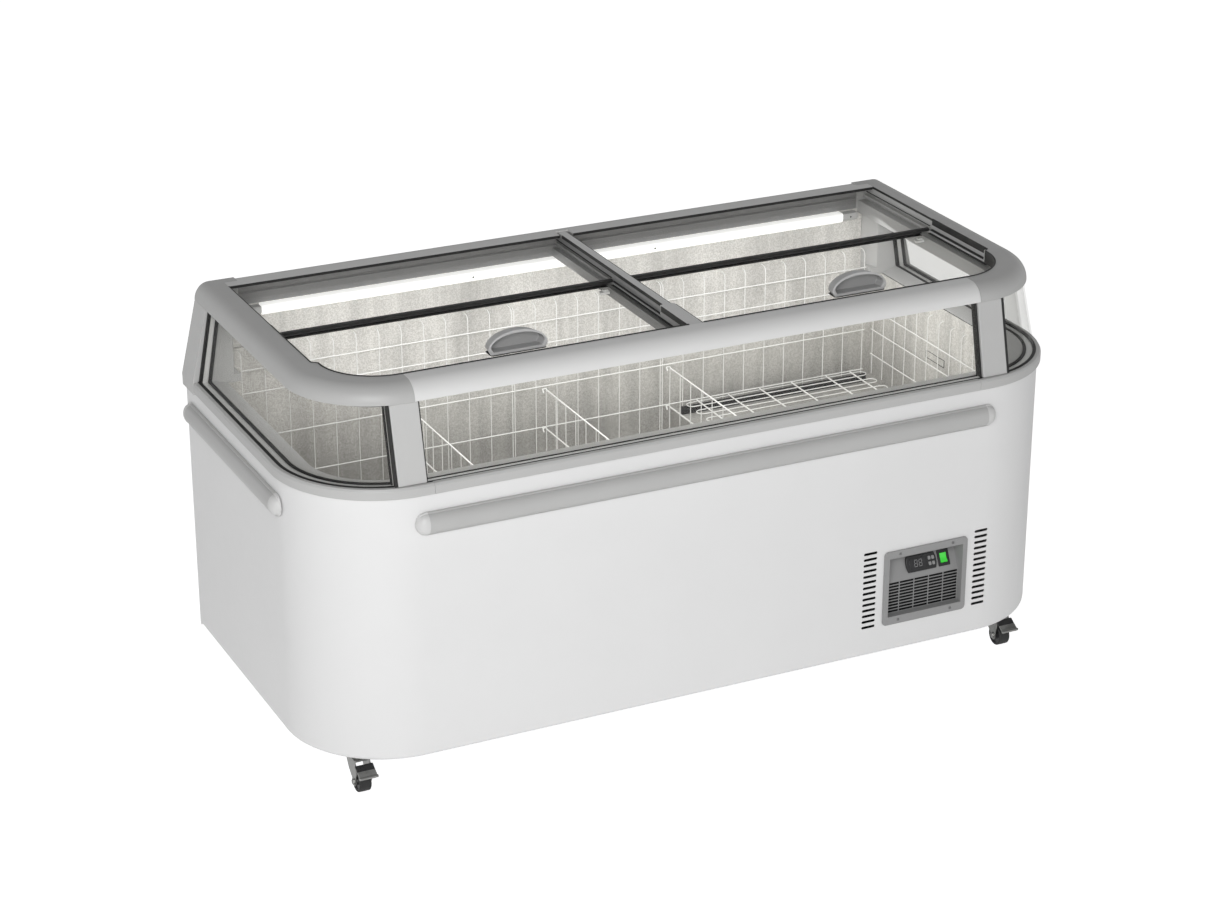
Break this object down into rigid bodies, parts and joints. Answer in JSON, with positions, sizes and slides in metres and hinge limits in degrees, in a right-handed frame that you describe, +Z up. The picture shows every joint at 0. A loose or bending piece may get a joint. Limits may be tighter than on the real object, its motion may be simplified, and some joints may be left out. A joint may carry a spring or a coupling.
{
  "type": "chest freezer",
  "caption": "Supermarket island chest freezer with a glazed canopy, sliding glass lids with cup handles, a control panel, bumpers and swivel casters.",
  "frame": {"origin": "on the floor, under the middle of the whole object's box", "axes": "+X to the right along the length, +Y from the front (controls) to the back, +Z up"},
  "size_m": [1.894, 0.844, 0.9549],
  "materials": {
    "cabinet_paint": "satin",
    "galvanised_steel": "satin",
    "stucco_aluminium": "satin",
    "insulation_foam": "matte",
    "grey_plastic": "satin",
    "grey_rail": "satin",
    "clear_glass": "polished",
    "black_rubber": "matte",
    "lamp_white": "gloss",
    "bumper_grey": "satin",
    "dark_plastic": "gloss",
    "switch_green": "gloss",
    "zinc": "satin",
    "compressor_black": "satin",
    "fin_aluminium": "satin",
    "white_wire": "satin"
  },
  "bodies": {
    "cabinet": {"outer_shell": "cabinet_paint", "back_panel": "cabinet_paint", "base_pan": "galvanised_steel", "liner_tub": "stucco_aluminium", "rear_wall_panel": "stucco_aluminium", "foam_insulation": "insulation_foam", "sill_left": "grey_plastic", "sill_right": "grey_plastic", "top_frame_left": "grey_plastic", "top_frame_right": "grey_plastic", "post_front_left": "grey_plastic", "post_front_right": "grey_plastic", "post_rear_left": "grey_plastic", "post_rear_right": "grey_plastic", "control_bezel": "grey_plastic", "sill_front": "grey_rail", "top_rail_front": "grey_rail", "top_rail_rear": "grey_rail", "centre_bar": "grey_rail", "end_glass_left": "clear_glass", "end_glass_right": "clear_glass", "front_glass": "clear_glass", "led_lamp": "lamp_white", "bumper_front": "bumper_grey", "bumper_left": "bumper_grey", "bumper_right": "bumper_grey", "controller": "dark_plastic", "compressor": "compressor_black", "fan_motor": "compressor_black", "condenser": "fin_aluminium", "guard_rear": "white_wire", "guard_left": "white_wire", "guard_right": "white_wire", "step_rack": "white_wire", "divider_1": "white_wire", "divider_2": "white_wire", "divider_3": "white_wire"},
    "rocker": {"rocker_switch": "switch_green"},
    "fan": {"fan_blade": "dark_plastic"},
    "front_lid_left": {"front_lid_left_glass": "clear_glass", "front_lid_left_trim": "black_rubber", "lid_handle_left": "grey_plastic"},
    "rear_lid_left": {"rear_lid_left_glass": "clear_glass", "rear_lid_left_trim": "black_rubber"},
    "front_lid_right": {"front_lid_right_glass": "clear_glass", "front_lid_right_trim": "black_rubber", "lid_handle_right": "grey_plastic"},
    "rear_lid_right": {"rear_lid_right_glass": "clear_glass", "rear_lid_right_trim": "black_rubber"},
    "fork_front_left": {"caster_fork_front_left": "zinc"},
    "wheel_front_left": {"caster_wheel_front_left": "black_rubber"},
    "fork_front_right": {"caster_fork_front_right": "zinc"},
    "wheel_front_right": {"caster_wheel_front_right": "black_rubber"},
    "fork_rear_left": {"caster_fork_rear_left": "zinc"},
    "wheel_rear_left": {"caster_wheel_rear_left": "black_rubber"},
    "fork_rear_right": {"caster_fork_rear_right": "zinc"},
    "wheel_rear_right": {"caster_wheel_rear_right": "black_rubber"},
    "pedal_front_left": {"brake_pedal_front_left": "zinc"},
    "pedal_front_right": {"brake_pedal_front_right": "zinc"}
  },
  "joints": [
    {"name": "front_lid_left_slide", "type": "slide", "parent": "cabinet", "child": "front_lid_left", "axis": [0, 1, 0], "range_m": [0, 0.25]},
    {"name": "front_lid_right_slide", "type": "slide", "parent": "cabinet", "child": "front_lid_right", "axis": [0, 1, 0], "range_m": [0, 0.25]},
    {"name": "rear_lid_left_slide", "type": "slide", "parent": "cabinet", "child": "rear_lid_left", "axis": [0, 1, 0], "range_m": [-0.228, 0]},
    {"name": "rear_lid_right_slide", "type": "slide", "parent": "cabinet", "child": "rear_lid_right", "axis": [0, 1, 0], "range_m": [-0.228, 0]},
    {"name": "rocker_tip", "type": "hinge", "parent": "cabinet", "child": "rocker", "pos_m": [0.606, -0.37, 0.2965], "axis": [1, 0, 0], "range_deg": [0, 12]},
    {"name": "fan_spin", "type": "hinge", "parent": "cabinet", "child": "fan", "pos_m": [0.541, -0.25, 0.235], "axis": [0, 1, 0], "continuous": true},
    {"name": "caster_front_left_swivel", "type": "hinge", "parent": "cabinet", "child": "fork_front_left", "pos_m": [-0.812, -0.291, 0.0835], "axis": [0, 0, 1], "continuous": true},
    {"name": "caster_front_left_roll", "type": "hinge", "parent": "fork_front_left", "child": "wheel_front_left", "pos_m": [-0.812, -0.315, 0.025], "axis": [1, 0, 0], "continuous": true},
    {"name": "caster_front_right_swivel", "type": "hinge", "parent": "cabinet", "child": "fork_front_right", "pos_m": [0.812, -0.291, 0.0835], "axis": [0, 0, 1], "continuous": true},
    {"name": "caster_front_right_roll", "type": "hinge", "parent": "fork_front_right", "child": "wheel_front_right", "pos_m": [0.812, -0.315, 0.025], "axis": [1, 0, 0], "continuous": true},
    {"name": "caster_rear_left_swivel", "type": "hinge", "parent": "cabinet", "child": "fork_rear_left", "pos_m": [-0.812, 0.336, 0.0835], "axis": [0, 0, 1], "continuous": true},
    {"name": "caster_rear_left_roll", "type": "hinge", "parent": "fork_rear_left", "child": "wheel_rear_left", "pos_m": [-0.812, 0.312, 0.025], "axis": [1, 0, 0], "continuous": true},
    {"name": "caster_rear_right_swivel", "type": "hinge", "parent": "cabinet", "child": "fork_rear_right", "pos_m": [0.812, 0.336, 0.0835], "axis": [0, 0, 1], "continuous": true},
    {"name": "caster_rear_right_roll", "type": "hinge", "parent": "fork_rear_right", "child": "wheel_rear_right", "pos_m": [0.812, 0.312, 0.025], "axis": [1, 0, 0], "continuous": true},
    {"name": "pedal_front_left_press", "type": "hinge", "parent": "fork_front_left", "child": "pedal_front_left", "pos_m": [-0.812, -0.331, 0.067], "axis": [1, 0, 0], "range_deg": [0, 12]},
    {"name": "pedal_front_right_press", "type": "hinge", "parent": "fork_front_right", "child": "pedal_front_right", "pos_m": [0.812, -0.331, 0.067], "axis": [1, 0, 0], "range_deg": [0, 12]}
  ]
}
